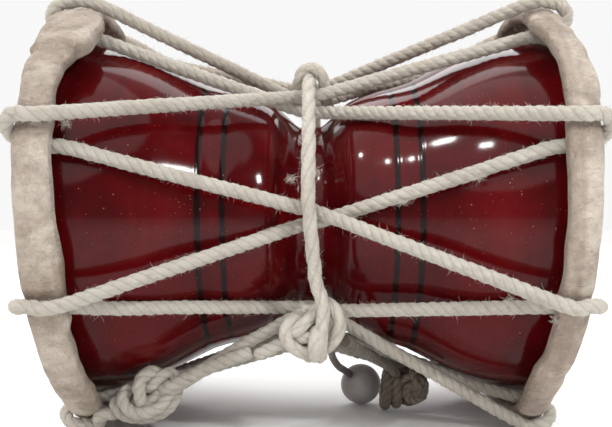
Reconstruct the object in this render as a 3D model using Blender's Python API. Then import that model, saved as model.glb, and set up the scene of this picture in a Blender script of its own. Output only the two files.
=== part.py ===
"""A damaru: a small hourglass hand drum that lies on its two hoops, with its rope lacing and strikers.

The drum's axis is X, the ground is z = 0, and the side with the knots faces -Y.
An angle round the axis is measured in degrees from -Y, upwards.
"""

import math

import bmesh
import bpy
from mathutils import Matrix, Vector

# Hide heads, each rolled over its hoop
HOOP_OUTER_RADIUS = 0.065
HOOP_THICKNESS = 0.0043
HOOP_CLEARANCE = 0.0052
HOOP_WIDTH = 0.0098
HOOP_ROUNDING = 0.0016
DRUM_LENGTH = 0.1454
HIDE_THICKNESS = 0.0009
HIDE_STEP = 0.0003
REST_FLAT_DEPTH = 0.0003
HEAD_SIDES = 36

# Turned wooden body
NECK_RADIUS = 0.0286
NECK_LENGTH = 0.0058
WALL = 0.005
BORE_RADIUS = 0.016
BORE_LENGTH = 0.011
BODY_SIDES = 40
# The bowl's outer curve, as shares of its length and of its rise from neck to rim.
BOWL_CURVE = (
    (0.0, 0.0),
    (0.067, 0.141),
    (0.139, 0.301),
    (0.258, 0.416),
    (0.409, 0.528),
    (0.611, 0.777),
    (0.793, 0.929),
    (1.0, 1.0),
)

# Rope lacing
ROPE_DIAMETER = 0.004
ROPE_SIDES = 6
LACING_POINTS = 8
WAIST_LACING_RADIUS = 0.0369
CROSSING_SPREAD = 0.0018
UPPER_SPREAD = 0.0008
WAIST_REST = 0.003
UPPER_BUNCH_LIFT = 15.0
HOLE_DIAMETER = 0.0049
HOLE_SHIFT = 4.5
LOW_FRONT_LIFT = 3.0

# Knots and waist cord
KNOT_LOOP = 0.0027
KNOT_LIFT = 0.0034
KNOT_SQUEEZE = 0.85
KNOT_HALF_TURN = 2.45
KNOT_STEPS = 26
WAIST_KNOT_ANGLE = -43.0
WAIST_KNOT_X = 0.0002
KNOT_STANDOFF = 0.002
CORD_REST = 0.002
TIE_KNOT_SHARE = 0.26
TIE_KNOT_RISE = 0.0018

# Strikers
BEAD_DIAMETER = 0.0143
STRAP_WIDTH = 0.0024
WAD_DIAMETER = 0.0166
STRIKER_ROPE_DIAMETER = 0.0034
BEAD_X = 0.0175
BEAD_Y = 0.011
WAD_X = 0.0305
WAD_Y = 0.0005
STRAP_ROUTE = (
    (0.0094, -0.0322, 0.0232),
    (0.0078, -0.0282, 0.0220),
    (0.0064, -0.0218, 0.0203),
    (0.0062, -0.0130, 0.0184),
    (0.0072, -0.0040, 0.0167),
    (0.0090, 0.0030, 0.0149),
    (0.0121, 0.0075, 0.0120),
)
STRIKER_ROPE_ROUTE = (
    (0.0102, -0.0352, 0.0292),
    (0.0128, -0.0310, 0.0268),
    (0.0170, -0.0235, 0.0237),
    (0.0212, -0.0155, 0.0202),
    (0.0248, -0.0085, 0.0172),
    (0.0274, -0.0042, 0.0149),
)

# Clearance between pieces that touch
GAP = 0.0003

AXIS_HEIGHT = HOOP_OUTER_RADIUS - REST_FLAT_DEPTH
HOOP_OUTER_X = DRUM_LENGTH / 2
HOOP_INNER_X = HOOP_OUTER_X - HOOP_WIDTH
HOOP_INNER_RADIUS = HOOP_OUTER_RADIUS - HOOP_THICKNESS
RIM_RADIUS = HOOP_INNER_RADIUS - HOOP_CLEARANCE
HIDE_OUTER_X = HOOP_OUTER_X - HIDE_STEP
HIDE_INNER_X = HIDE_OUTER_X - HIDE_THICKNESS
RIM_X = HIDE_INNER_X - GAP
ROPE_RADIUS = ROPE_DIAMETER / 2
ROPE_STEP = ROPE_DIAMETER + GAP
ROPE_CLEAR = ROPE_RADIUS + GAP
BODY_CLEAR = ROPE_CLEAR + GAP
OVER_RADIUS = HOOP_OUTER_RADIUS + ROPE_CLEAR + GAP
WAIST_KNOT_RADIUS = WAIST_LACING_RADIUS + ROPE_STEP + ROPE_CLEAR + KNOT_LIFT + KNOT_STANDOFF
WAIST_CORD_RADIUS = WAIST_LACING_RADIUS + 2 * ROPE_STEP
HOLE_RADIUS = (RIM_RADIUS + HOOP_INNER_RADIUS) / 2
POINT_STEP = 360.0 / LACING_POINTS
TIE_ANGLE = POINT_STEP * (LACING_POINTS - 1.5)


def clear_scene():
    for thing in list(bpy.data.objects):
        bpy.data.objects.remove(thing, do_unlink=True)


def material(name, colour, roughness):
    made = bpy.data.materials.new(name)
    made.use_nodes = True
    shader = made.node_tree.nodes["Principled BSDF"]
    shader.inputs["Base Color"].default_value = (*colour, 1.0)
    shader.inputs["Roughness"].default_value = roughness
    shader.inputs["Metallic"].default_value = 0.0
    return made


def add(name, mesh, finish):
    """Puts a mesh in the scene as one named piece with its material."""
    piece = bpy.data.objects.new(name, mesh)
    bpy.context.scene.collection.objects.link(piece)
    mesh.materials.clear()
    mesh.materials.append(finish)
    mesh.shade_smooth()
    mesh.set_sharp_from_angle(angle=math.radians(40))
    return piece


def on_drum(x, radius, angle):
    """A point by its place along the axis, its radius and its angle round the axis."""
    turn = math.radians(angle)
    return Vector((x, -radius * math.cos(turn), AXIS_HEIGHT + radius * math.sin(turn)))


def bowl_radius(x):
    """The body's outer radius at a place along the axis."""
    rise = RIM_RADIUS - NECK_RADIUS
    share = (abs(x) - NECK_LENGTH / 2) / (RIM_X - NECK_LENGTH / 2)
    for (a, low), (b, high) in zip(BOWL_CURVE, BOWL_CURVE[1:]):
        if share <= b:
            return NECK_RADIUS + rise * (low + (high - low) * max(share - a, 0.0) / (b - a))
    return RIM_RADIUS


def turned(profile, sides, closed):
    """A mesh turned round the drum's axis from (x, radius) points, with a flat side underneath."""
    made = bmesh.new()
    corners = [made.verts.new((x, 0.0, -radius)) for x, radius in profile]
    edges = [made.edges.new(pair) for pair in zip(corners, corners[1:])]
    if closed:
        edges.append(made.edges.new((corners[-1], corners[0])))
    bmesh.ops.spin(
        made,
        geom=corners + edges,
        cent=(0.0, 0.0, 0.0),
        axis=(1.0, 0.0, 0.0),
        angle=2 * math.pi,
        steps=sides,
        use_merge=True,
    )
    bmesh.ops.remove_doubles(made, verts=made.verts, dist=1e-6)
    half_side = Matrix.Rotation(math.pi / sides, 3, "X")
    bmesh.ops.rotate(made, verts=made.verts, cent=(0.0, 0.0, 0.0), matrix=half_side)
    bmesh.ops.translate(made, verts=made.verts, vec=(0.0, 0.0, AXIS_HEIGHT))
    bmesh.ops.recalc_face_normals(made, faces=made.faces)
    return made


def finished(made, name):
    mesh = bpy.data.meshes.new(name)
    made.to_mesh(mesh)
    made.free()
    return mesh


def mesh_of(thing):
    """The mesh of an object with its modifiers done; the object itself goes."""
    graph = bpy.context.evaluated_depsgraph_get()
    graph.update()
    mesh = bpy.data.meshes.new_from_object(thing.evaluated_get(graph))
    bpy.data.objects.remove(thing, do_unlink=True)
    return mesh


def tube(name, points, radius, sides, closed=False):
    """A rope's plain tube along its points; a fourth number of a point is its share of the thickness."""
    line = bpy.data.curves.new(name, "CURVE")
    line.dimensions = "3D"
    line.bevel_depth = radius
    line.bevel_resolution = sides // 2 - 2
    line.use_fill_caps = True
    spline = line.splines.new("POLY")
    spline.points.add(len(points) - 1)
    for place, point in zip(spline.points, points):
        place.co = (*point[:3], 1.0)
        place.radius = point[3] if len(point) == 4 else 1.0
    spline.use_cyclic_u = closed
    thing = bpy.data.objects.new(name, line)
    bpy.context.scene.collection.objects.link(thing)
    return thing


def joined(name, meshes):
    """One closed mesh of several that overlap."""
    base = bpy.data.objects.new(name, meshes[0])
    bpy.context.scene.collection.objects.link(base)
    for other in meshes[1:]:
        helper = bpy.data.objects.new(name + "_helper", other)
        bpy.context.scene.collection.objects.link(helper)
        union = base.modifiers.new("Join", "BOOLEAN")
        union.operation = "UNION"
        union.solver = "EXACT"
        union.object = helper
        mesh = mesh_of(base)
        bpy.data.objects.remove(helper, do_unlink=True)
        base = bpy.data.objects.new(name, mesh)
        bpy.context.scene.collection.objects.link(base)
    return mesh_of(base)


def smooth_line(points, spacing):
    """Points at an even spacing along a smooth curve through the given points."""
    count = len(points)
    fine = []
    for i in range(count - 1):
        b, c = points[i], points[i + 1]
        a = points[i - 1] if i else b + (b - c)
        d = points[i + 2] if i + 2 < count else c + (c - b)
        for step in range(12):
            t = step / 12
            fine.append(
                0.5
                * (
                    2 * b
                    + (c - a) * t
                    + (2 * a - 5 * b + 4 * c - d) * t * t
                    + (3 * b - 3 * c + d - a) * t * t * t
                )
            )
    fine.append(points[-1])
    along = [0.0]
    for p, q in zip(fine, fine[1:]):
        along.append(along[-1] + (q - p).length)
    steps = max(2, round(along[-1] / spacing))
    even = []
    i = 0
    for k in range(steps + 1):
        target = along[-1] * k / steps
        while i + 2 < len(along) and along[i + 1] < target:
            i += 1
        share = (target - along[i]) / max(along[i + 1] - along[i], 1e-9)
        even.append(fine[i].lerp(fine[i + 1], share))
    return even


def wooden_body(finish):
    """The hourglass: two bowls and the bored neck between them, turned from one block."""
    half = NECK_LENGTH / 2
    outer = [
        (half + share * (RIM_X - half), NECK_RADIUS + rise * (RIM_RADIUS - NECK_RADIUS))
        for share, rise in BOWL_CURVE
    ]
    inner = [(x, radius - WALL) for x, radius in outer[2:]][::-2]
    inner[-1] = (outer[2][0], outer[2][1] - WALL)
    bowl = outer + inner + [(BORE_LENGTH / 2, BORE_RADIUS)]
    profile = bowl + [(-x, radius) for x, radius in reversed(bowl)]
    add("wooden_body", finished(turned(profile, BODY_SIDES, closed=True), "wooden_body"), finish)


def head_profile():
    """Half the section of a head, from the middle of its face over the hoop to its inside."""
    cut = HOOP_ROUNDING
    valley = (RIM_RADIUS + HOOP_INNER_RADIUS) / 2
    return [
        (HIDE_OUTER_X, 0.0),
        (HIDE_OUTER_X, RIM_RADIUS - WALL),
        (HIDE_OUTER_X, valley),
        (HOOP_OUTER_X, HOOP_INNER_RADIUS + cut / 2),
        (HOOP_OUTER_X, HOOP_OUTER_RADIUS - cut),
        (HOOP_OUTER_X - cut / 3, HOOP_OUTER_RADIUS - cut / 3),
        (HOOP_OUTER_X - cut, HOOP_OUTER_RADIUS),
        (HOOP_INNER_X + cut, HOOP_OUTER_RADIUS),
        (HOOP_INNER_X + cut / 3, HOOP_OUTER_RADIUS - cut / 3),
        (HOOP_INNER_X, HOOP_OUTER_RADIUS - cut),
        (HOOP_INNER_X, HOOP_INNER_RADIUS + cut),
        (HOOP_INNER_X + cut, HOOP_INNER_RADIUS),
        (HIDE_INNER_X, HOOP_INNER_RADIUS),
        (HIDE_INNER_X, 0.0),
    ]


def flatten_underside(made):
    """Cuts the small flat that the hoop has worn where it lies on the ground."""
    cut = bmesh.ops.bisect_plane(
        made,
        geom=made.verts[:] + made.edges[:] + made.faces[:],
        dist=1e-7,
        plane_co=(0.0, 0.0, 0.0),
        plane_no=(0.0, 0.0, -1.0),
        clear_outer=True,
    )
    rim = [part for part in cut["geom_cut"] if isinstance(part, bmesh.types.BMEdge)]
    bmesh.ops.contextual_create(made, geom=rim)
    bmesh.ops.recalc_face_normals(made, faces=made.faces)


def lacing_angles():
    """The angle of each lacing point, the same on both hoops."""
    return [POINT_STEP * (k + 0.5) for k in range(LACING_POINTS)]


def seat(angle):
    """Where a lacing point really sits: the lower front ones are a little above their even place."""
    past = (angle + POINT_STEP / 2) % 360
    return angle + (LOW_FRONT_LIFT if min(past, 360 - past) < 1.0 else 0.0)


def hole_mesh(side, angle):
    """The cutter of one lacing hole through the hide."""
    made = bmesh.new()
    place = on_drum(side * HIDE_INNER_X, HOLE_RADIUS, angle)
    bmesh.ops.create_cone(
        made,
        cap_ends=True,
        segments=8,
        radius1=HOLE_DIAMETER / 2,
        radius2=HOLE_DIAMETER / 2,
        depth=HIDE_THICKNESS * 8,
        matrix=Matrix.Translation(place) @ Matrix.Rotation(math.pi / 2, 4, "Y"),
    )
    return finished(made, "hole")


def drumhead(name, side, finish):
    """A hide head: a stretched skin rolled over its hoop, with the holes that the rope goes through."""
    profile = [(side * x, radius) for x, radius in head_profile()]
    made = turned(profile, HEAD_SIDES, closed=False)
    flatten_underside(made)
    head = bpy.data.objects.new(name + "_blank", finished(made, name))
    bpy.context.scene.collection.objects.link(head)
    holes = joined("holes", [hole_mesh(side, seat(angle) - HOLE_SHIFT) for angle in lacing_angles()])
    helper = bpy.data.objects.new("holes_cutter", holes)
    bpy.context.scene.collection.objects.link(helper)
    bore = head.modifiers.new("Holes", "BOOLEAN")
    bore.operation = "DIFFERENCE"
    bore.solver = "EXACT"
    bore.object = helper
    mesh = mesh_of(head)
    bpy.data.objects.remove(helper, do_unlink=True)
    add(name, mesh, finish)


def is_lifted(nominal):
    """Whether a bunch is the upper front one, whose strands are pulled up and close together."""
    return abs(nominal - POINT_STEP) < 1.0


def bunch_angle(nominal):
    """The angle where two strands meet at the waist."""
    return nominal + (UPPER_BUNCH_LIFT if is_lifted(nominal) else 0.0)


def clear_of_body(point):
    """The point, moved out where a rope through it would press into the body."""
    out = Vector((0.0, point.y, point.z - AXIS_HEIGHT))
    least = bowl_radius(point.x) + BODY_CLEAR
    if out.length >= least or abs(point.x) > HOOP_INNER_X:
        return point
    out *= least / out.length
    return Vector((point.x, out.y, out.z + AXIS_HEIGHT))


def leg(side, angle, outermost):
    """One strand: from over its hoop, through its bunch at the waist, to inside the other hoop."""
    waist_radius = WAIST_LACING_RADIUS + (ROPE_STEP if outermost else 0.0)
    start = on_drum(side * (HOOP_INNER_X + HOOP_ROUNDING), OVER_RADIUS, seat(angle))
    end_angle = seat(angle + POINT_STEP) - HOLE_SHIFT
    end = on_drum(-side * HOOP_INNER_X, HOLE_RADIUS, end_angle)
    bunch = angle + POINT_STEP / 2
    spread = math.degrees((UPPER_SPREAD if is_lifted(bunch) else CROSSING_SPREAD) / waist_radius)
    waist_angle = bunch_angle(bunch) + (spread if outermost else -spread)
    slant = POINT_STEP / 2 * WAIST_REST / HOOP_INNER_X
    before = on_drum(side * WAIST_REST, waist_radius, waist_angle - slant)
    after = on_drum(-side * WAIST_REST, waist_radius, waist_angle + slant)
    rising = [after.lerp(end, share) for share in (0.35, 0.6, 0.8, 1.0)]
    return [start, before, after] + [clear_of_body(point) for point in rising]


def round_hoop(side, angle):
    """The turn of a rope from inside its hoop, out through the hide and back over the hoop."""
    middle = (HOLE_RADIUS + OVER_RADIUS) / 2
    reach = (OVER_RADIUS - HOLE_RADIUS) / 2
    points = [on_drum(side * (HIDE_INNER_X - ROPE_RADIUS), HOLE_RADIUS, angle - HOLE_SHIFT)]
    for step in range(5):
        turn = math.radians(-90 + 45 * step)
        x = HOOP_OUTER_X + HOOP_ROUNDING / 2 + ROPE_RADIUS * math.cos(turn)
        shift = HOLE_SHIFT * (1 - step / 4)
        points.append(on_drum(side * x, middle + reach * math.sin(turn), angle - shift))
    return points


def squeezed(point):
    """A point of a rope where a knot pulls it thinner."""
    return Vector((*point, KNOT_SQUEEZE))


def overhand(centre, along, up, out):
    """The line of an overhand knot whose ends leave along and against the given direction."""
    points = [(-5.4, -1.2, 0.0), (-3.4, -2.3, 0.0), (-2.1, -2.5, -0.4), (-1.5, -2.0, -0.8)]
    middle = []
    for step in range(KNOT_STEPS + 1):
        turn = KNOT_HALF_TURN * (1 - 2 * step / KNOT_STEPS)
        middle.append(
            (
                math.sin(turn) + 2 * math.sin(2 * turn),
                math.cos(turn) - 2 * math.cos(2 * turn),
                -math.sin(3 * turn),
            )
        )
    leaving = [(-x, y, -z) for x, y, z in reversed(points)]
    return [
        squeezed(centre + KNOT_LOOP * (x * along + y * up) + KNOT_LIFT * z * out)
        for x, y, z in points + middle + leaving
    ]


def axes_at(point, along):
    """Unit directions along a strand, up the drum's side and straight out of the drum."""
    out = Vector((0.0, point.y, point.z - AXIS_HEIGHT)).normalized()
    along = along.normalized()
    out = (out - along * out.dot(along)).normalized()
    up = out.cross(along)
    return along, up, out


def knotted_leg(points):
    """The leg with the tie: an overhand knot between its hoop and the waist."""
    start, waist = points[0], points[1]
    centre = start.lerp(waist, TIE_KNOT_SHARE)
    along, up, out = axes_at(centre, waist - start)
    centre = centre + up * TIE_KNOT_RISE
    return [start] + overhand(centre, along, up, out) + points[1:]


def lacing_rope(name, first_angle, outermost, finish):
    """One closed circuit of rope: from hoop to hoop, once round the drum. The outermost has the tie."""
    points = []
    side = -1
    angle = first_angle
    for _ in range(LACING_POINTS):
        strand = leg(side, angle, outermost)
        if outermost and abs(angle - TIE_ANGLE) < 1.0:
            strand = knotted_leg(strand)
        points += strand
        side = -side
        angle += POINT_STEP
        points += round_hoop(side, seat(angle))
    rope = tube(name + "_line", points, ROPE_RADIUS, ROPE_SIDES, closed=True)
    add(name, mesh_of(rope), finish)


def waist_knot_centre():
    return on_drum(WAIST_KNOT_X, WAIST_KNOT_RADIUS, WAIST_KNOT_ANGLE)


def waist_cord(finish):
    """The cord round the bunched strands, its overhand knot and the bight that hangs from it."""
    centre = waist_knot_centre()
    along, up, out = axes_at(centre, on_drum(0.0, 1.0, WAIST_KNOT_ANGLE + 90) - on_drum(0, 0, 0))
    knot = overhand(centre, along, up, out)
    points = list(knot)
    for nominal in range(0, 360 - round(POINT_STEP), round(POINT_STEP)):
        for sideways in (-CORD_REST, CORD_REST):
            angle = bunch_angle(nominal) + math.degrees(sideways / WAIST_CORD_RADIUS)
            points.append(on_drum(0.0, WAIST_CORD_RADIUS, angle))
    cord = mesh_of(tube("cord_line", points, ROPE_RADIUS, ROPE_SIDES, closed=True))
    bight = [
        squeezed(centre + KNOT_LOOP * (x * along + y * up) + KNOT_LIFT * z * out)
        for x, y, z in (
            (0.6, 0.9, 0.9),
            (-1.2, 0.8, 1.6),
            (-2.9, 0.2, 1.5),
            (-3.9, -0.7, 1.0),
            (-3.4, -1.6, 0.8),
            (-1.8, -1.7, 0.9),
            (0.2, -1.2, 0.9),
        )
    ]
    hanging = mesh_of(tube("bight_line", bight, ROPE_RADIUS, ROPE_SIDES))
    add("waist_cord", joined("waist_cord", [cord, hanging]), finish)


def bead_centre():
    return Vector((BEAD_X, BEAD_Y, BEAD_DIAMETER / 2))


def wad_centre():
    return Vector((WAD_X, WAD_Y, WAD_DIAMETER / 2))


def striker_bead(finish):
    """The smooth round striker."""
    made = bmesh.new()
    bmesh.ops.create_uvsphere(made, u_segments=14, v_segments=9, radius=BEAD_DIAMETER / 2)
    bmesh.ops.translate(made, verts=made.verts, vec=bead_centre())
    add("striker_bead", finished(made, "striker_bead"), finish)


def ring_mesh(centre, tilt, radius, thickness):
    """One wrap of the wadded knot."""
    made = bmesh.new()
    around = 10
    section = 6
    rows = []
    for i in range(around):
        turn = 2 * math.pi * i / around
        row = []
        for j in range(section):
            small = 2 * math.pi * j / section
            reach = radius + thickness * math.cos(small)
            local = Vector((reach * math.cos(turn), reach * math.sin(turn), thickness * math.sin(small)))
            row.append(made.verts.new(centre + tilt @ local))
        rows.append(row)
    for i in range(around):
        for j in range(section):
            a, b = rows[i], rows[(i + 1) % around]
            made.faces.new((a[j], b[j], b[(j + 1) % section], a[(j + 1) % section]))
    bmesh.ops.recalc_face_normals(made, faces=made.faces)
    return finished(made, "wrap")


def striker_knot(finish):
    """The rope end wadded into a hard knot: three wraps round one another."""
    thickness = STRIKER_ROPE_DIAMETER / 2
    radius = WAD_DIAMETER / 2 - thickness
    core = bmesh.new()
    bmesh.ops.create_icosphere(core, subdivisions=1, radius=radius)
    bmesh.ops.translate(core, verts=core.verts, vec=wad_centre())
    wraps = [finished(core, "core")]
    for turn, axis in ((0.0, "X"), (78.0, "X"), (68.0, "Y")):
        tilt = Matrix.Rotation(math.radians(turn), 3, axis)
        wraps.append(ring_mesh(wad_centre(), tilt, radius, thickness))
    add("striker_knot", joined("striker_knot", wraps), finish)


def free_cord(name, points, diameter, sides, finish):
    """A cord that hangs free, as a curve with a round section along a smooth route."""
    line = tube(name, smooth_line([Vector(p) for p in points], diameter * 1.6), diameter / 2, sides)
    line.data.materials.append(finish)


def main():
    clear_scene()
    wood = material("red_lacquer", (0.19, 0.012, 0.014), 0.22)
    hide = material("hide", (0.62, 0.52, 0.40), 0.75)
    rope = material("cotton_rope", (0.62, 0.57, 0.47), 0.9)
    strap = material("grey_strap", (0.10, 0.09, 0.08), 0.7)
    bead = material("grey_bead", (0.33, 0.31, 0.29), 0.45)
    tail = material("brown_rope", (0.20, 0.16, 0.12), 0.9)
    wooden_body(wood)
    for name, side in (("left_drumhead", -1), ("right_drumhead", 1)):
        drumhead(name, side, hide)
    lacing_rope("outer_lacing_rope", POINT_STEP / 2, True, rope)
    lacing_rope("inner_lacing_rope", -POINT_STEP / 2, False, rope)
    waist_cord(rope)
    striker_bead(bead)
    free_cord("striker_strap", STRAP_ROUTE, STRAP_WIDTH, 8, strap)
    striker_knot(tail)
    free_cord("striker_rope", STRIKER_ROPE_ROUTE, STRIKER_ROPE_DIAMETER, 8, tail)


main()
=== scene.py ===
"""A damaru: a small hourglass hand drum on its two hoops, laced with cotton rope, with two strikers.

The drum's axis is X, the ground is z = 0 and the side with the knots faces -Y.
An angle round the axis is in degrees from -Y, upwards. Lengths are in metres.
"""

import math
import random

import bpy
from bpy.props import FloatProperty, FloatVectorProperty, PointerProperty
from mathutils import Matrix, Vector, noise


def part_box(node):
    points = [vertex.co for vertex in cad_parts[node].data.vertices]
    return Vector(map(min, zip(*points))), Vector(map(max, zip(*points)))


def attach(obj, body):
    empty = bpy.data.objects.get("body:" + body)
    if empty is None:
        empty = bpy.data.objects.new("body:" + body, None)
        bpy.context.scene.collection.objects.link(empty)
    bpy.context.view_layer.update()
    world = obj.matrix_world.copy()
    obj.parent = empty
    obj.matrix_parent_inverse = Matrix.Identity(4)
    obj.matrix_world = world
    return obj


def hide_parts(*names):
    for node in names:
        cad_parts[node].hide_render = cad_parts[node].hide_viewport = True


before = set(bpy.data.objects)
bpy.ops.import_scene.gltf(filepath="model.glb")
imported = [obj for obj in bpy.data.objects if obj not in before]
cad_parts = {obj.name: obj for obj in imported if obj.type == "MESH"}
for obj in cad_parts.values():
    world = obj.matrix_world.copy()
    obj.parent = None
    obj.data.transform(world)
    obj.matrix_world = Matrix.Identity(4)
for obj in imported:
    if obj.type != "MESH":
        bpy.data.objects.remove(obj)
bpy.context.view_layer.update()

bl_info = {
    "name": "Damaru drum",
    "version": (1, 0, 0),
    "blender": (4, 5, 0),
    "location": "3D View > Sidebar > Damaru",
    "description": "Builds a laced hourglass hand drum with its strikers",
    "category": "Add Mesh",
}

HEAD_LOW, HEAD_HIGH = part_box("right_drumhead")
BODY_LOW, BODY_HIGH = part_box("wooden_body")
BEAD_LOW, BEAD_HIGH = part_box("striker_bead")
WAD_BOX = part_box("striker_knot")

MM = 0.001
HOOP_RADIUS = (HEAD_HIGH[2] - HEAD_LOW[2] + 0.3 * MM) / 2
AXIS_HEIGHT = HEAD_HIGH[2] - HOOP_RADIUS
HOOP_OUTER_X = HEAD_HIGH[0]
HOOP_INNER_X = HEAD_LOW[0]
RIM_X = BODY_HIGH[0]
RIM_RADIUS = (BODY_HIGH[2] - BODY_LOW[2]) / 2

# The camera of the photograph
IMAGE_WIDTH = 612.0
FOCAL_PIXELS = 799.0
SENSOR = 36.0
CAMERA_DISTANCE = 0.2615
CAMERA_PITCH = 4.0
SHIFT_X = -0.0067
SHIFT_Y = 0.097

# Hoops and hides
HOOP_THICKNESS = 4.3 * MM
HIDE_THICKNESS = 0.9 * MM
HOOP_INSIDE = HOOP_RADIUS - HOOP_THICKNESS
HOOP_CORNER = 3.0 * MM
HOOP_BULGE = 0.35 * MM
# Where a hide's face lies, and how near to the axis its mesh goes
FACE_X = HOOP_OUTER_X - 0.3 * MM
AXIS_GAP = 0.01 * MM
HEAD_STEPS = 320

# Turned body
NECK_RADIUS = 28.6 * MM
NECK_LENGTH = 5.8 * MM
WALL = 5.0 * MM
BORE_RADIUS = 16.0 * MM
BORE_LENGTH = 11.0 * MM
# The curved inside of a bowl, between the bore and the lip
INSIDE_START = 12.5 * MM
INSIDE_END = RIM_X - 1.2 * MM
BODY_STEPS = 200
# The bowl's outer line from the neck to the rim, as shares of its length and of its rise
BOWL_CURVE = (
    (0.0, 0.0), (0.067, 0.141), (0.139, 0.301), (0.258, 0.416), (0.409, 0.528), (0.611, 0.777),
    (0.793, 0.929), (1.0, 1.0),
)

# Lacing
LACING_POINTS = 8
POINT_STEP = 360.0 / LACING_POINTS
WAIST_LACING_RADIUS = 36.9 * MM
UPPER_BUNCH_LIFT = 15.0
LOW_FRONT_LIFT = 3.0
HOLE_SHIFT = 4.5
# Between ropes that lie on each other, and half the width of the bunches at the waist
ROPE_GAP = 0.3 * MM
BUNCH_HALF = 3.0 * MM
# How far out of its hole a rope rises before it turns, and how far its turn is drawn in
HOLE_RISE = 1.6 * MM
TURN_TIGHT = 1.6 * MM
TIE_ANGLE = POINT_STEP * (LACING_POINTS - 1.5)

# Free cords, on the routes that their solids take, with the thong's start up in the knot
STRAP_ROUTE = (
    (0.0065, -0.0310, 0.0278), (0.0063, -0.0280, 0.0256), (0.0067, -0.0220, 0.0227),
    (0.0078, -0.0140, 0.0194), (0.0095, -0.0060, 0.0162), (0.0116, 0.0015, 0.0136),
    (0.0139, 0.0075, 0.0109),
)
STRIKER_ROPE_ROUTE = (
    (0.0102, -0.0352, 0.0292), (0.0128, -0.0310, 0.0268), (0.0170, -0.0235, 0.0237),
    (0.0212, -0.0155, 0.0202), (0.0248, -0.0085, 0.0172), (0.0276, -0.0034, 0.0142),
    (0.0288, 0.0014, 0.0100),
)


def size(name, description, default):
    return FloatProperty(
        name=name, description=description, default=default, subtype="DISTANCE", unit="LENGTH"
    )


def colour(name, description, default):
    return FloatVectorProperty(
        name=name, description=description, default=default, subtype="COLOR", min=0.0, max=1.0
    )


class DamaruSizes(bpy.types.PropertyGroup):
    """Sizes of the drum that a user would change."""

    rope: size("Lacing rope", "Thickness of the cotton lacing rope", 4.0 * MM)
    lay: size("Rope lay", "Length in which a strand goes once round the rope", 8.6 * MM)
    strap: size("Strap width", "Width of the flat thong", 2.4 * MM)
    strap_thickness: size("Strap thickness", "Thickness of the flat thong", 1.3 * MM)
    striker_rope: size("Striker rope", "Thickness of the second striker's rope", 3.4 * MM)
    bead: size("Bead", "Diameter of the round striker", BEAD_HIGH[0] - BEAD_LOW[0])
    band: size("Band width", "Width of a dark band on the bowls", 1.7 * MM)
    inner_band: size("Inner band", "Distance of the inner dark band from the middle", 24.3 * MM)
    outer_band: size("Outer band", "Distance of the outer dark band from the middle", 31.0 * MM)
    fuzz: size("Fuzz", "Length of the loose fibres on the rope", 1.8 * MM)


class DamaruColours(bpy.types.PropertyGroup):
    """Colours of the drum that a user would change."""

    lacquer: colour("Lacquer", "Red lacquer on the wood", (0.092, 0.0022, 0.0032))
    lacquer_deep: colour("Deep lacquer", "Red lacquer where it is thick", (0.046, 0.0014, 0.0022))
    band: colour("Bands", "Dark bands turned into the bowls", (0.010, 0.0024, 0.0027))
    hide: colour("Hide", "Dried hide", (0.430, 0.355, 0.290))
    hide_pale: colour("Pale hide", "Hide where it is bleached", (0.640, 0.560, 0.475))
    hide_stain: colour("Hide stains", "Tan stains on the hide", (0.265, 0.180, 0.120))
    cotton: colour("Cotton", "Off-white cotton rope", (0.585, 0.56, 0.495))
    cotton_dirt: colour("Soiled cotton", "Cotton where it is soiled", (0.36, 0.29, 0.235))
    strap: colour("Strap", "Dark grey thong", (0.118, 0.104, 0.096))
    bead: colour("Bead", "Smooth grey striker", (0.375, 0.340, 0.325))
    brown_rope: colour("Brown rope", "The second striker's rope", (0.33, 0.262, 0.195))


def sizes():
    return bpy.context.scene.damaru_sizes


def colours():
    return bpy.context.scene.damaru_colours


# Points and curves

def middle_of(low, high):
    """The middle of a box."""
    return Vector([(a + b) / 2 for a, b in zip(low, high)])


def on_drum(x, radius, angle):
    """A point by its place along the axis, its radius and its angle round the axis."""
    turn = math.radians(angle)
    return Vector((x, -radius * math.cos(turn), AXIS_HEIGHT + radius * math.sin(turn)))


def hermite(a, b, c, d, t):
    """The smooth curve from b to c, with a before it and d after it."""
    return 0.5 * (
        2 * b + (c - a) * t + (2 * a - 5 * b + 4 * c - d) * t * t + (3 * b - 3 * c + d - a) * t * t * t
    )


def distances(line, closed):
    """How far each point of a line is from its start, along the line."""
    along = [0.0]
    for p, q in zip(line, line[1:] + line[:1] if closed else line[1:]):
        along.append(along[-1] + (q - p).length)
    return along


def smooth_line(points, spacing, closed=False):
    """Points at an even spacing along a smooth curve through the given points."""
    count = len(points)
    fine = []
    for i in range(count if closed else count - 1):
        if closed:
            a, b, c, d = (points[(i + k) % count] for k in (-1, 0, 1, 2))
        else:
            b, c = points[i], points[i + 1]
            a = points[i - 1] if i else b + (b - c)
            d = points[i + 2] if i + 2 < count else c + (c - b)
        fine += [hermite(a, b, c, d, step / 12) for step in range(12)]
    fine.append(points[0] if closed else points[-1])
    along = distances(fine, False)
    steps = max(2, round(along[-1] / spacing))
    even = []
    i = 0
    for k in range(steps if closed else steps + 1):
        target = along[-1] * k / steps
        while i + 2 < len(along) and along[i + 1] < target:
            i += 1
        share = (target - along[i]) / max(along[i + 1] - along[i], 1e-9)
        even.append(fine[i].lerp(fine[i + 1], share))
    return even


def between(table, value):
    """The smoothly eased value of a table of (place, value) pairs at a place."""
    if value <= table[0][0]:
        return table[0][1]
    for (a, low), (b, high) in zip(table, table[1:]):
        if value <= b:
            share = (value - a) / (b - a)
            return low + (high - low) * share * share * (3 - 2 * share)
    return table[-1][1]


def ripple(point, scale, seed):
    """Smooth noise from -1 to 1 about a point; scale is in waves for each metre."""
    return noise.noise(Vector(point) * scale + Vector((seed * 13.7, seed * 5.1, seed * 9.3)))


# Meshes

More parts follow.
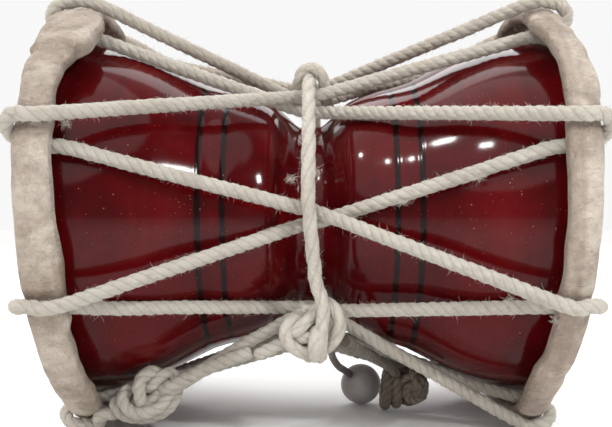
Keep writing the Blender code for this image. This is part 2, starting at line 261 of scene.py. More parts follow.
# From which angle an edge stays sharp on the ropes and thong, the body and the hides, in degrees
ROPE_SHARP = 60.0
BODY_SHARP = 35.0
HIDE_SHARP = 50.0
# Points of a turned mesh that are nearer than this are one point
MERGE_DISTANCE = 0.002 * MM


def placed(name, data):
    """A new object of a mesh, camera or lamp, in the scene."""
    thing = bpy.data.objects.new(name, data)
    bpy.context.scene.collection.objects.link(thing)
    return thing


def finished(piece, finish, sharp):
    """The piece in one material, smooth but for its sharp edges."""
    piece.data.materials.clear()
    piece.data.materials.append(finish)
    piece.data.shade_smooth()
    piece.data.set_sharp_from_angle(angle=math.radians(sharp))
    return piece


class Shell:
    """Points, faces and their UV places, gathered before they become one mesh."""

    def __init__(self):
        self.points = []
        self.faces = []
        self.places = []

    def face(self, corners, places):
        self.faces.append(corners)
        self.places.append(places)

    def tube(self, rings, along, closed):
        """Joins rings of points into a tube; along holds each ring's distance, in metres."""
        start = len(self.points)
        sides = len(rings[0])
        for ring in rings:
            self.points += ring
        spans = len(rings) if closed else len(rings) - 1
        for i in range(spans):
            a = start + i * sides
            b = start + (i + 1) % len(rings) * sides
            u, v = along[i], along[i + 1]
            for j in range(sides):
                k = (j + 1) % sides
                places = ((u, j / sides), (u, (j + 1) / sides), (v, (j + 1) / sides), (v, j / sides))
                self.face((a + j, a + k, b + k, b + j), places)
        if not closed:
            self.cap(rings[0], start, along[0], False)
            self.cap(rings[-1], start + (len(rings) - 1) * sides, along[len(rings) - 1], True)

    def cap(self, ring, first, distance, forward):
        """Closes a tube's end with a fan."""
        middle = sum(ring, Vector()) / len(ring)
        self.points.append(middle)
        tip = len(self.points) - 1
        sides = len(ring)
        for j in range(sides):
            k = (j + 1) % sides
            corners = (first + j, first + k, tip) if forward else (first + k, first + j, tip)
            self.face(corners, ((distance, j / sides), (distance, k / sides), (distance, 0.5)))

    def piece(self, name, finish):
        """Makes the gathered faces one object."""
        mesh = bpy.data.meshes.new(name)
        mesh.from_pydata(self.points, [], self.faces)
        layer = mesh.uv_layers.new(name="Lay")
        flat = [number for face in self.places for place in face for number in place]
        layer.data.foreach_set("uv", flat)
        return finished(placed(name, mesh), finish, ROPE_SHARP)


def frames_along(line, closed):
    """Tangents and untwisted normals along a line, and how far a closed line's frame has turned."""
    count = len(line)
    tangents = []
    for i in range(count):
        before = line[i - 1] if closed or i else line[0]
        after = line[(i + 1) % count] if closed or i + 1 < count else line[-1]
        tangents.append((after - before).normalized())
    normals = [tangents[0].orthogonal().normalized()]
    for before, after in zip(tangents, tangents[1:]):
        normal = before.rotation_difference(after) @ normals[-1]
        normals.append((normal - after * normal.dot(after)).normalized())
    turned = tangents[-1].rotation_difference(tangents[0]) @ normals[-1]
    side = tangents[0].cross(normals[0])
    return tangents, normals, math.atan2(turned.dot(side), turned.dot(normals[0]))


# The rope's mesh: sides of a strand, distance of the rings, and how far all of it stays off the floor
STRAND_SIDES = 6
RING_SPACING = 0.75 * MM
ROPE_FLOOR_GAP = 0.05 * MM
FIBRE_FLOOR_GAP = 0.1 * MM
# A cut end narrows over this length, to this share of the thickness
END_LENGTH = 1.2 * MM
END_SHARE = 0.72
# Loose fibres: how many to a millimetre of rope and in a tuft, and how thick
FIBRES_PER_MM = 7.2
FIBRE_RADIUS = 0.042 * MM
TUFT_FIBRES = 70
TUFT_FIBRE_RADIUS = 0.045 * MM
FIBRE_STEPS = 2


def lay_rope(shell, points, thickness, lay, closed, seed, depth=0.155, fuzz=0.0, blunt=False):
    """Adds a three-strand rope along points to the shell; each strand is a lobe that winds round it."""
    line = smooth_line(points, RING_SPACING, closed)
    tangents, normals, slip = frames_along(line, closed)
    along = distances(line, closed)
    total = along[-1] / lay * math.tau
    if closed:
        total = round((total + slip) / (math.tau)) * math.tau - slip
    sides = 3 * STRAND_SIDES
    rings = []
    for i, centre in enumerate(line):
        twist = total * along[i] / along[-1]
        across = tangents[i].cross(normals[i])
        end = min(along[i], along[len(line) - 1] - along[i]) if not closed else 1.0
        close = 1.0
        if blunt and end <= END_LENGTH:
            close = END_SHARE + (1 - END_SHARE) * math.sqrt(end / END_LENGTH)
        ring = []
        for j in range(sides):
            lobe = abs(2 * (j % STRAND_SIDES) / STRAND_SIDES - 1)
            strand = j // STRAND_SIDES
            swell = 1 + 0.07 * ripple((along[i], strand * 0.01, 0), 260.0, seed)
            swell += 0.07 * ripple((along[i], j * 0.0011, strand * 0.01), 900.0, seed + 3)
            reach = thickness / 2 * close * swell * (1 - depth * lobe**2.4)
            turn = twist + math.tau * j / sides
            ring.append(centre + reach * (math.cos(turn) * normals[i] + math.sin(turn) * across))
        rings.append([Vector((p.x, p.y, max(p.z, ROPE_FLOOR_GAP))) for p in ring])
    shell.tube(rings, along, closed)
    if fuzz:
        add_fuzz(shell, rings, line, tangents, along, fuzz, seed)
    return line


def any_way(draw):
    return Vector((draw.uniform(-1, 1), draw.uniform(-1, 1), draw.uniform(-1, 1)))


def add_fuzz(shell, rings, line, tangents, along, length, seed):
    """Loose fibres that stand off the rope, thin and curved."""
    draw = random.Random(seed + 100)
    for _ in range(round(along[-1] / MM * FIBRES_PER_MM)):
        i = draw.randrange(len(line))
        j = draw.randrange(len(rings[0]))
        root = rings[i][j]
        out = (root - line[i]).normalized()
        lean = tangents[i] * draw.choice((-1, 1)) * draw.uniform(0.2, 1.5)
        side = out.cross(tangents[i]) * draw.uniform(-0.8, 0.8)
        heading = (out * draw.uniform(0.5, 1.1) + lean + side).normalized()
        bend = any_way(draw) * 0.9
        reach = length * draw.uniform(0.3, 0.9) * (2.0 if draw.random() < 0.08 else 1.0)
        add_fibre(shell, root - out * 0.1 * MM, heading, bend, reach, FIBRE_RADIUS, along[i])


def add_tuft(shell, place, seed):
    """A little clump of loose fibres that has worked out of the rope."""
    draw = random.Random(seed + 500)
    for _ in range(TUFT_FIBRES):
        strayed = Vector((draw.gauss(0, 0.7), draw.gauss(0, 0.4), draw.gauss(0, 0.45)))
        spot = (Vector(place) + strayed) * MM
        heading = Vector((draw.uniform(-1, 1), draw.uniform(-0.8, 0.2), draw.uniform(-1, 0.7)))
        bend = any_way(draw) * 1.6
        reach = draw.uniform(0.8, 2.6) * MM
        add_fibre(shell, spot, heading.normalized(), bend, reach, TUFT_FIBRE_RADIUS, 0.0)


def add_fibre(shell, root, heading, bend, reach, radius, distance):
    """One thin fibre: a three-sided spike that curves."""
    side = heading.orthogonal().normalized()
    other = heading.cross(side)
    first = len(shell.points)
    steps = FIBRE_STEPS
    centre = root
    for step in range(steps):
        width = radius * (1 - 0.35 * step)
        for k in range(3):
            turn = math.tau * k / 3
            shell.points.append(centre + width * (math.cos(turn) * side + math.sin(turn) * other))
        heading = (heading + bend / steps).normalized()
        centre = centre + heading * reach / steps
    shell.points.append(centre)
    for k in range(first, len(shell.points)):
        shell.points[k].z = max(shell.points[k].z, FIBRE_FLOOR_GAP)
    place = (distance, 0.5 / 3)
    for step in range(steps - 1):
        for k in range(3):
            a = first + step * 3
            corners = (a + k, a + (k + 1) % 3, a + 3 + (k + 1) % 3, a + 3 + k)
            shell.face(corners, (place,) * 4)
    last = first + (steps - 1) * 3
    for k in range(3):
        shell.face((last + k, last + (k + 1) % 3, first + steps * 3), (place,) * 3)
    shell.face((first + 2, first + 1, first), (place,) * 3)


def deselect_all():
    bpy.ops.object.select_all(action="DESELECT")


def lathe(name, profile, steps):
    """Turns a closed profile of (x, radius) points round the drum's axis, starting from a circle."""
    deselect_all()
    bpy.ops.mesh.primitive_circle_add(vertices=len(profile), radius=HOOP_RADIUS)
    piece = bpy.context.object
    piece.name = name
    for corner, (x, radius) in zip(piece.data.vertices, profile):
        corner.co = (x, 0.0, AXIS_HEIGHT - radius)
    bpy.ops.object.mode_set(mode="EDIT")
    bpy.ops.mesh.select_all(action="SELECT")
    bpy.ops.mesh.spin(
        steps=steps, angle=math.tau, center=(0.0, 0.0, AXIS_HEIGHT), axis=(1.0, 0.0, 0.0)
    )
    bpy.ops.mesh.select_all(action="SELECT")
    bpy.ops.mesh.remove_doubles(threshold=MERGE_DISTANCE)
    bpy.ops.mesh.delete_loose(use_verts=True, use_edges=True, use_faces=False)
    bpy.ops.mesh.select_all(action="SELECT")
    bpy.ops.mesh.normals_make_consistent(inside=False)
    bpy.ops.object.mode_set(mode="OBJECT")
    return piece


def arc(x, radius, reach, start, end, count):
    """Points of a round corner of a profile: centre, reach and the angles from +X towards outside."""
    made = []
    for step in range(count + 1):
        turn = math.radians(start + (end - start) * step / count)
        made.append((x + reach * math.cos(turn), radius + reach * math.sin(turn)))
    return made


def run(start, end, count):
    """Points between two profile points, without the last."""
    return [
        (start[0] + (end[0] - start[0]) * k / count, start[1] + (end[1] - start[1]) * k / count)
        for k in range(count)
    ]


def near(x, radius, *offsets):
    """Profile points by their distances from a place, in mm."""
    return [(x + right * MM, radius + out * MM) for right, out in offsets]


def dressed(piece, node):
    """The piece rides on the drum and stands for its CAD node."""
    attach(piece, "root")
    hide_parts(node)
    return piece


# Materials

class Weave:
    """The node tree of a new material or world, with short calls to add nodes to it."""

    def __init__(self, name, world=False):
        self.owner = (bpy.data.worlds if world else bpy.data.materials).new(name)
        self.owner.use_nodes = True
        self.tree = self.owner.node_tree
        self.shader = self.tree.nodes["Background" if world else "Principled BSDF"]

    def add(self, kind, inputs=(), **settings):
        node = self.tree.nodes.new(kind)
        for name, value in settings.items():
            setattr(node, name, value)
        for name, value in dict(inputs).items():
            self.feed(node.inputs[name], value)
        return node

    def feed(self, socket, value):
        if isinstance(value, bpy.types.NodeSocket):
            self.tree.links.new(value, socket)
        else:
            socket.default_value = value

    def set(self, **values):
        for name, value in values.items():
            self.feed(self.shader.inputs[name.replace("_", " ")], value)

    def stretched(self, place, stretch):
        return self.add("ShaderNodeMapping", {"Vector": place, "Scale": stretch}).outputs["Vector"]

    def object_place(self, stretch=(1.0, 1.0, 1.0)):
        return self.stretched(self.add("ShaderNodeTexCoord").outputs["Object"], stretch)

    def uv_place(self, stretch=(1.0, 1.0, 1.0)):
        return self.stretched(self.add("ShaderNodeUVMap", uv_map="Lay").outputs["UV"], stretch)

    def split(self, place):
        return self.add("ShaderNodeSeparateXYZ", {"Vector": place}).outputs

    def math(self, operation, a, b=0.0):
        node = self.add("ShaderNodeMath", operation=operation)
        self.feed(node.inputs[0], a)
        self.feed(node.inputs[1], b)
        return node.outputs[0]

    def times(self, a, b):
        return self.math("MULTIPLY", a, b)

    def grade(self, value, low, high, bottom=0.0, top=1.0):
        inputs = {"Value": value, "From Min": low, "From Max": high, "To Min": bottom, "To Max": top}
        node = self.add("ShaderNodeMapRange", inputs, interpolation_type="SMOOTHSTEP")
        return node.outputs["Result"]

    def noise(self, place, scale, detail=3.0, roughness=0.55, distortion=0.0):
        inputs = {"Vector": place, "Scale": scale, "Detail": detail, "Roughness": roughness}
        node = self.add("ShaderNodeTexNoise", {**inputs, "Distortion": distortion})
        return node.outputs["Fac"]

    def dots(self, place, scale, radius, share):
        """Scattered round specks: 1 inside a speck; share is the part of the cells that has one."""
        cells = self.add("ShaderNodeTexVoronoi", {"Vector": place, "Scale": scale})
        near = self.grade(cells.outputs["Distance"], radius * 0.6, radius, 1.0, 0.0)
        pick = self.split(cells.outputs["Color"])[0]
        return self.times(near, self.math("LESS_THAN", pick, share))

    def mix(self, factor, a, b):
        node = self.add("ShaderNodeMix", data_type="RGBA")
        self.feed(node.inputs["Factor"], factor)
        self.feed(node.inputs[6], a if isinstance(a, bpy.types.NodeSocket) else (*a, 1.0))
        self.feed(node.inputs[7], b if isinstance(b, bpy.types.NodeSocket) else (*b, 1.0))
        return node.outputs[2]

    def bump(self, height, strength, distance, normal=None):
        inputs = {"Height": height, "Strength": strength, "Distance": distance}
        if normal is not None:
            inputs["Normal"] = normal
        return self.add("ShaderNodeBump", inputs).outputs["Normal"]


def lacquer_finish():
    """Deep red gloss lacquer with faint turning marks, two dark bands a bowl, dust and small scuffs."""
    made = Weave("red_lacquer")
    place = made.object_place()
    turned_place = made.object_place((1.0, 0.06, 0.06))
    x = made.split(place)[0]
    far = made.math("ABSOLUTE", x)
    streaks = made.noise(turned_place, 420.0, 4.0)
    clouds = made.noise(place, 34.0, 4.0, 0.6, 0.4)
    depth = made.math("ADD", made.times(streaks, 0.16), made.times(clouds, 0.84))
    red = made.mix(made.grade(depth, 0.32, 0.66), colours().lacquer_deep, colours().lacquer)
    wobble = made.times(made.math("SUBTRACT", made.noise(place, 260.0, 2.0), 0.5), 0.0006)
    lines = None
    for middle in (sizes().inner_band, sizes().outer_band):
        off = made.math("ABSOLUTE", made.math("SUBTRACT", made.math("ADD", far, wobble), middle))
        line = made.grade(off, sizes().band * 0.30, sizes().band * 0.66, 1.0, 0.0)
        lines = line if lines is None else made.math("MAXIMUM", lines, line)
    worn = made.grade(made.noise(place, 150.0, 3.0), 0.2, 0.5, 0.75, 1.0)
    red = made.mix(made.times(lines, worn), red, colours().band)
    specks = made.dots(place, 330.0, 0.075, 0.35)
    fine = made.dots(place, 820.0, 0.11, 0.40)
    dust = made.math("MAXIMUM", specks, fine)
    patchy = made.grade(made.noise(place, 45.0, 2.0), 0.30, 0.60, 0.15, 1.0)
    dust = made.times(dust, patchy)
    red = made.mix(made.times(dust, 0.6), red, (0.38, 0.20, 0.14))
    film = made.grade(made.noise(place, 70.0, 5.0, 0.7), 0.5, 0.85, 0.0, 0.035)
    red = made.mix(film, red, (0.30, 0.16, 0.15))
    rough = made.grade(made.noise(place, 90.0, 4.0), 0.3, 0.7, 0.30, 0.42)
    made.set(Base_Color=red, Roughness=made.math("ADD", rough, made.times(dust, 0.4)))
    made.set(Coat_Weight=1.0, Coat_Roughness=0.10, Coat_IOR=1.28, Specular_IOR_Level=0.0)
    swell = made.noise(turned_place, 160.0, 2.0)
    normal = made.bump(swell, 0.25, 0.00025)
    normal = made.bump(dust, 0.5, 0.00008, normal)
    made.set(Normal=normal)
    made.feed(made.shader.inputs["Coat Normal"], made.bump(swell, 0.16, 0.00025))
    return made.owner


def hide_finish():
    """Dried hide: mottled cream, brownish stains, fine creases, a dry, slightly waxy surface and painted
    shade.
    """
    made = Weave("dried_hide")
    place = made.object_place()
    mottle = made.noise(place, 55.0, 6.0, 0.62, 0.3)
    base = made.mix(made.grade(mottle, 0.40, 0.60), colours().hide, colours().hide_pale)
    stains = made.grade(made.noise(place, 30.0, 5.0, 0.62, 0.8), 0.47, 0.70, 0.0, 0.45)
    base = made.mix(stains, base, colours().hide_stain)
    grain = made.noise(place, 620.0, 5.0, 0.75)
    base = made.mix(made.grade(grain, 0.50, 0.72, 0.0, 0.38), base, colours().hide_stain)
    base = made.mix(made.grade(grain, 0.28, 0.46, 0.32, 0.0), base, colours().hide_pale)
    damp = made.noise(place, 140.0, 4.0, 0.7)
    base = made.mix(made.grade(damp, 0.52, 0.66, 0.0, 0.30), base, (0.235, 0.18, 0.145))
    x = made.split(place)[0]
    # Painted shade: each hoop is darker, in streaks, on its side towards -X, the side turned from the
    # light.
    left_hoop_painted_shade = made.grade(x, -0.0728, -0.0672, 0.34, 0.0)
    right_side = made.math("GREATER_THAN", x, 0.0)
    right_hoop_painted_shade = made.times(made.grade(x, 0.0672, 0.0688, 0.52, 0.0), right_side)
    streaks = made.noise(made.object_place((6.0, 1.0, 1.0)), 70.0, 4.0, 0.6)
    streaky = made.grade(streaks, 0.25, 0.7, 0.45, 1.0)
    hoop_side_painted_shade = made.times(made.math("MAXIMUM", left_hoop_painted_shade, right_hoop_painted_shade), streaky)
    base = made.mix(hoop_side_painted_shade, base, (0.30, 0.215, 0.165))
    # Painted shade, from the shade attribute that shape_head sets.
    shade = made.add("ShaderNodeAttribute", attribute_name="shade").outputs["Fac"]
    base = made.mix(made.times(shade, 0.8), base, (0.16, 0.105, 0.07))
    made.set(Base_Color=base, Roughness=made.grade(mottle, 0.3, 0.7, 0.62, 0.78))
    made.set(Specular_IOR_Level=0.35)
    creases = made.noise(made.object_place((0.75, 1.0, 1.0)), 300.0, 6.0, 0.65, 0.5)
    pores = made.noise(place, 1500.0, 3.0)
    normal = made.bump(creases, 1.0, 0.0030)
    normal = made.bump(grain, 0.8, 0.0009, normal)
    made.set(Normal=made.bump(pores, 0.5, 0.00018, normal))
    return made.owner


def rope_finish(name, base_colour, dirt_and_groove_shade_colour, dirt_share, groove_shade_share):
    """Laid rope: pale yarns that run along each strand, painted shade in the valleys and soiled patches.
    """
    made = Weave(name)
    place = made.object_place()
    around = made.math("FRACT", made.times(made.split(made.uv_place())[1], 3.0))
    valley = made.math("ABSOLUTE", made.math("SUBTRACT", made.times(around, 2.0), 1.0))
    along = made.split(made.uv_place())[0]
    slant = made.math("ADD", made.times(along, 5200.0), made.times(around, 16.0))
    yarn_line = made.math("SINE", slant)
    fibres = made.noise(made.uv_place((420.0, 46.0, 1.0)), 1.0, 5.0, 0.7)
    soiled = made.grade(made.noise(place, 60.0, 6.0, 0.66, 0.5), 0.44, 0.72, 0.0, dirt_share)
    base = made.mix(soiled, base_colour, dirt_and_groove_shade_colour)
    lint = made.grade(made.noise(place, 480.0, 4.0, 0.7), 0.5, 0.72, 0.0, 0.45)
    base = made.mix(lint, base, dirt_and_groove_shade_colour)
    base = made.mix(made.grade(fibres, 0.35, 0.75, 0.30, 0.0), base, dirt_and_groove_shade_colour)
    # Painted shade: the valleys between the strands are darkened.
    dark = tuple(0.6 * channel for channel in dirt_and_groove_shade_colour)
    base = made.mix(made.grade(valley, 0.64, 1.0, 0.0, groove_shade_share), base, dark)
    # Darker and browner on the strands at the top, towards the back.
    far_side = made.grade(made.split(place)[2], 0.085, 0.118)
    behind = made.grade(made.split(place)[1], -0.040, -0.012)
    top_back_tint = made.times(made.times(far_side, behind), 0.38)
    base = made.mix(top_back_tint, base, dirt_and_groove_shade_colour)
    made.set(Base_Color=base, Roughness=0.92, Specular_IOR_Level=0.18)
    made.set(Sheen_Weight=0.35, Sheen_Roughness=0.6, Sheen_Tint=(0.9, 0.87, 0.8, 1.0))
    height = made.math("ADD", made.times(yarn_line, 0.22), fibres)
    wool = made.noise(place, 1900.0, 3.0, 0.7)
    normal = made.bump(height, 0.8, 0.00034)
    made.set(Normal=made.bump(wool, 0.6, 0.00025, normal))
    return made.owner


def strap_finish():
    """Dark grey flat thong with a dull face, paler in random patches."""
    made = Weave("grey_thong")
    place = made.object_place()
    grain = made.noise(place, 700.0, 5.0, 0.65)
    base = made.mix(made.grade(grain, 0.3, 0.7), colours().strap, (0.19, 0.165, 0.15))
    across = made.split(made.uv_place())[1]
    stitch = made.math("SINE", made.times(made.split(made.uv_place())[0], 7000.0))
    made.set(Base_Color=base, Roughness=0.62, Specular_IOR_Level=0.35)
    height = made.math("ADD", grain, made.times(made.times(stitch, across), 0.1))
    made.set(Normal=made.bump(height, 0.4, 0.0002))
    return made.owner


def bead_finish():
    """Smooth grey moulded striker, matt, with faint rubbed patches."""
    made = Weave("grey_bead")
    place = made.object_place()
    clouds = made.noise(place, 130.0, 4.0, 0.55)
    base = made.mix(made.grade(clouds, 0.35, 0.7), colours().bead, (0.44, 0.41, 0.395))
    specks = made.dots(place, 900.0, 0.22, 0.08)
    base = made.mix(made.times(specks, 0.35), base, (0.12, 0.10, 0.09))
    made.set(Base_Color=base, Roughness=made.grade(clouds, 0.3, 0.7, 0.46, 0.58), Specular_IOR_Level=0.4)
    made.set(Normal=made.bump(made.noise(place, 600.0, 3.0), 0.12, 0.0001))
    return made.owner


def floor_finish():
    """Plain pale studio floor with a faint unevenness."""
    made = Weave("pale_floor")
    place = made.object_place()
    tone = made.grade(made.noise(place, 6.0, 2.0), 0.3, 0.7)
    made.set(Base_Color=made.mix(tone, (0.91, 0.91, 0.91), (0.93, 0.93, 0.93)), Roughness=0.9)
    made.set(Specular_IOR_Level=0.1)
    return made.owner


def material_once(name, make):
    """The named material, made the first time that it is asked for."""
    return bpy.data.materials.get(name) or make()


def rope_once(name, *looks):
    return material_once(name, lambda: rope_finish(name, *looks))


def cotton():
    return rope_once("cotton_rope_laid", colours().cotton, colours().cotton_dirt, 0.5, 0.30)


def brown():
    return rope_once("brown_rope_laid", colours().brown_rope, (0.085, 0.062, 0.045), 0.7, 0.75)


def brown_in_shade():
    """The brown rope above the wad, with painted shade: a darker copy of the brown rope's material."""
    return rope_once("brown_rope_painted_shade", (0.150, 0.122, 0.098), (0.07, 0.055, 0.042), 0.7, 0.75)


# Body

def bowl_curve_points():
    """The bowl's outer line from neck to rim, smoothed."""
    half = NECK_LENGTH / 2
    points = [
        Vector((half + share * (RIM_X - half), NECK_RADIUS + rise * (RIM_RADIUS - NECK_RADIUS), 0.0))
        for share, rise in BOWL_CURVE
    ]
    before = Vector((-half, NECK_RADIUS, 0.0))
    line = smooth_line([before] + points, 0.9 * MM)
    return [(p.x, p.y) for p in line if p.x > half]


def bowl_radius(x):
    """The body's outer radius at a place along the axis."""
    curve = bowl_curve_points()
    for (a, low), (b, high) in zip(curve, curve[1:]):
        if a <= abs(x) <= b:
            return low + (high - low) * (abs(x) - a) / (b - a)
    return NECK_RADIUS if abs(x) < curve[0][0] else RIM_RADIUS


def groove(x):
    """How deep the turned bands are cut at a place along the axis."""
    depth = 0.0
    for middle in (sizes().inner_band, sizes().outer_band):
        off = abs(x - middle) / (sizes().band / 2)
        if off < 1:
            depth = max(depth, 0.10 * MM * (1 - off * off))
    return depth


def make_body():
    """The hollow hourglass: two bowls, their lips and the bore between them."""
    curve = []
    outer = bowl_curve_points()
    for (a, low), (b, high) in zip(outer, outer[1:]):
        curve += run((a, low), (b, high), 2)
    curve.append(outer[-1])
    outside = [(x, radius - groove(x)) for x, radius in curve]
    edge = outside[-1]
    lip = arc(edge[0] - 0.5 * MM, edge[1] - 0.5 * MM, 0.5 * MM, 60, 0, 3)
    inner_lip = near(edge[0], edge[1] - WALL, (0.0, 0.5), (-0.5, 0.0))
    inside = [(x, radius - WALL) for x, radius in outer[::2] if INSIDE_START < x < INSIDE_END][::-1]
    bore = near(BORE_LENGTH / 2, BORE_RADIUS, (1.5, 0.8), (0.0, 0.0))
    bowl = outside[:-1] + lip + inner_lip + inside + bore
    profile = bowl + [(-x, radius) for x, radius in reversed(bowl)]
    body = finished(lathe("turned_body", profile, BODY_STEPS), lacquer_finish(), BODY_SHARP)
    dressed(body, "wooden_body")


# Hides

# How far each hoop's outer and inner edge stands out from a true ring, in mm, by angle at the front
LEFT_OUTER = (
    (-75, 0.0), (-52, -1.1), (-35, -0.4), (-20, 0.65), (-5, 0.7), (9, 1.6), (16, 2.1), (20, 2.0),
    (30, 1.5), (38, 2.3), (46, 0.6), (75, 0.0),
)
LEFT_INNER = (
    (-75, 0.0), (-52, -2.4), (-35, -0.9), (-28.5, -0.7), (-24.5, -1.7), (-20, -0.8), (-5, -0.6),
    (8, 0.9), (18, 1.7), (31, 2.0), (38, 1.4), (43, -0.6), (47, -4.6), (58, -5.4), (66, -2.0),
    (80, 0.0),
)
RIGHT_OUTER = (
    (-80, 0.0), (-55, -3.0), (-44, -2.4), (-35, -1.5), (-24, -0.8), (-12, -0.4), (4, 0.2),
    (17, 1.1), (33, 1.2), (42, 0.4), (52, -0.5), (75, 0.0),
)
RIGHT_INNER = (
    (-80, 0.0), (-50, -2.2), (-42, -2.0), (-35, -0.4), (-24, -0.1), (-12, 1.0), (4, 1.3), (17, 1.5),
    (33, 2.3), (42, 2.2), (50, 1.5), (58, -1.0), (75, 0.0),
)


def hoop_shift(side, angle, inner):
    """How far outwards a hoop's outer or inner edge stands from a true ring, at an angle."""
    turn = (angle + 180.0) % 360.0 - 180.0
    if side < 0:
        table = LEFT_INNER if inner else LEFT_OUTER
    else:
        table = RIGHT_INNER if inner else RIGHT_OUTER
    lively = 0.5 * ripple((math.cos(math.radians(angle)), math.sin(math.radians(angle)), side), 2.6, 4)
    return (between(table, turn) + lively) * MM


def head_profile():
    """A head's closed section on the right side: the face, over the hoop, its inside and back."""
    back_x = FACE_X - HIDE_THICKNESS
    corner = HOOP_CORNER
    valley = (RIM_RADIUS + HOOP_INSIDE) / 2
    profile = [(FACE_X, AXIS_GAP)] + run((FACE_X, 3.0 * MM), (FACE_X, RIM_RADIUS - 4 * MM), 16)
    profile += near(FACE_X, RIM_RADIUS, (0.0, -3.0), (0.05, -1.5), (-0.05, -0.3))
    profile += near(FACE_X, valley, (-0.5, -0.9), (-0.8, 0.0), (-0.55, 1.1))
    profile += near(HOOP_OUTER_X, HOOP_INSIDE, (-0.5, 0.2))
    profile += arc(HOOP_OUTER_X - corner, HOOP_RADIUS - corner, corner, 5, 90, 8)
    middle = (HOOP_OUTER_X + HOOP_INNER_X) / 2
    half = HOOP_OUTER_X - corner - middle
    for step in range(1, 8):
        share = 1 - step / 4
        profile.append((middle + half * share, HOOP_RADIUS + HOOP_BULGE * (1 - share * share)))
    profile += arc(HOOP_INNER_X + corner * 0.8, HOOP_RADIUS - corner * 0.8, corner * 0.8, 90, 180, 7)
    edge = near(HOOP_INNER_X, HOOP_INSIDE, (0.3, 0.6), (0.9, 0.1), (2.0, 0.0), (3.0, 0.0))
    profile += run((HOOP_INNER_X, HOOP_RADIUS - corner), edge[0], 4) + edge[1:3]
    profile += run(edge[3], (back_x - 1.0 * MM, HOOP_INSIDE), 4)
    profile += near(back_x, valley, (-0.8, 1.0), (-0.9, 0.0), (-0.5, -1.2))
    profile += run((back_x, RIM_RADIUS - 1.0 * MM), (back_x, 3.0 * MM), 6) + [(back_x, AXIS_GAP)]
    return profile


def lap_height(side, angle):
    """How thick the second layer of hide is over the hoop, where the hide's end is lapped."""
    if side > 0:
        return between(((28.0, 0.0), (30.0, 0.5 * MM), (52.0, 0.45 * MM), (54.0, 0.0)), angle)
    return between(((43.0, 0.0), (44.0, 1.25 * MM), (63.0, 0.9 * MM), (63.8, 0.0)), angle)


def shape_head(head, side):
    """Works the turned head by hand: wandering edges, lapped hide, creases, rope dents and painted shade.
    """
    mesh = head.data
    # The shade attribute holds painted shade: beside the rope dents, along the ragged inner edge and at
    # the rim.
    shade = mesh.attributes.new("shade", "FLOAT", "POINT")
    seats = [seat(POINT_STEP * (k + 0.5)) for k in range(LACING_POINTS)]
    for corner in mesh.vertices:
        x = corner.co.x * side
        y, z = corner.co.y, corner.co.z - AXIS_HEIGHT
        radius = math.hypot(y, z)
        angle = math.degrees(math.atan2(z, -y))
        turn = math.radians(angle)
        dark = 0.0
        if radius > HOOP_INSIDE - 0.5 * MM:
            share = (x - HOOP_INNER_X) / (HOOP_OUTER_X - HOOP_INNER_X)
            outward = hoop_shift(side, angle, False) * share + hoop_shift(side, angle, True) * (1 - share)
            lift = lap_height(side, angle) if radius > HOOP_INSIDE + 1.0 * MM else 0.0
            crease = 0.42 * MM * ripple((x * 0.5, y, z), 190.0, 7 + side)
            crease += 0.24 * MM * ripple((x * 0.8, y, z), 480.0, 17 + side)
            dent = 0.0
            for place in seats:
                off = math.radians((angle - place + 180) % 360 - 180) * radius
                dent += math.exp(-((off / (1.9 * MM)) ** 2))
                # Painted shade in a band on each side of the rope's dent.
                dark = max(dark, 0.55 * math.exp(-((abs(off) - 2.2 * MM) / (0.9 * MM)) ** 2))
            if share < 0.12 and radius < HOOP_RADIUS - 1.2 * MM:
                ragged = ripple((turn * 0.06, side, 0.3), 110.0, 21)
                outward -= (0.9 if side < 0 else 0.5) * MM * ragged
                # Painted shade along the ragged inner edge, where hoop and body meet.
                dark = max(dark, 0.35 + 0.4 * ragged)
            radius += lift + crease - 0.45 * MM * dent
            if share > 0.85:
                outward += lift * 0.8 - 0.3 * MM * dent
            x += outward
        elif x > FACE_X - 2.5 * MM:
            near_rim = max(0.0, min(1.0, (radius - RIM_RADIUS + 16 * MM) / (14 * MM)))
            fold = ripple((math.cos(turn) * 0.05, math.sin(turn) * 0.05, 0.1), 330.0, 31 + side)
            x += 0.16 * MM * near_rim * fold
            # Painted shade on the face where it meets the rim.
            dark = 0.3 * max(0.0, min(1.0, (radius - RIM_RADIUS) / (1.0 * MM)))
            if radius > RIM_RADIUS - 1.0 * MM:
                x += hoop_shift(side, angle, False) * (radius - RIM_RADIUS + 1.0 * MM) / (6 * MM)
        z = max(AXIS_HEIGHT + radius * math.sin(turn), 0.0)
        corner.co = (x * side, -radius * math.cos(turn), z)
        shade.data[corner.index].value = dark


def make_head(name, side, node):
    """One hide over its hoop, on the left (-1) or right (1)."""
    profile = [(side * x, radius) for x, radius in head_profile()]
    head = lathe(name, profile, HEAD_STEPS)
    shape_head(head, side)
    dressed(finished(head, material_once("dried_hide", hide_finish), HIDE_SHARP), node)


# Lacing

def seat(angle):
    """Where a lacing point really sits: the lower front ones are a little above their even place."""
    past = (angle + POINT_STEP / 2) % 360
    return angle + (LOW_FRONT_LIFT if min(past, 360 - past) < 1.0 else 0.0)


def is_lifted(nominal):
    return abs(nominal - POINT_STEP) < 1.0


def bunch_angle(nominal):
    return nominal + (UPPER_BUNCH_LIFT if is_lifted(nominal) else 0.0)


def clear_of_body(point):
    """The point, moved out where a rope through it would press into the body."""
    out = Vector((0.0, point.y, point.z - AXIS_HEIGHT))
    least = bowl_radius(point.x) + sizes().rope / 2 + 0.2 * MM
    if out.length >= least or abs(point.x) > HOOP_INNER_X:
        return point
    out *= least / out.length
    return Vector((point.x, out.y, out.z + AXIS_HEIGHT))


def over_radius():
    return HOOP_RADIUS + sizes().rope / 2 - 0.1 * MM


def hole_radius():
    return (RIM_RADIUS + HOOP_INSIDE) / 2


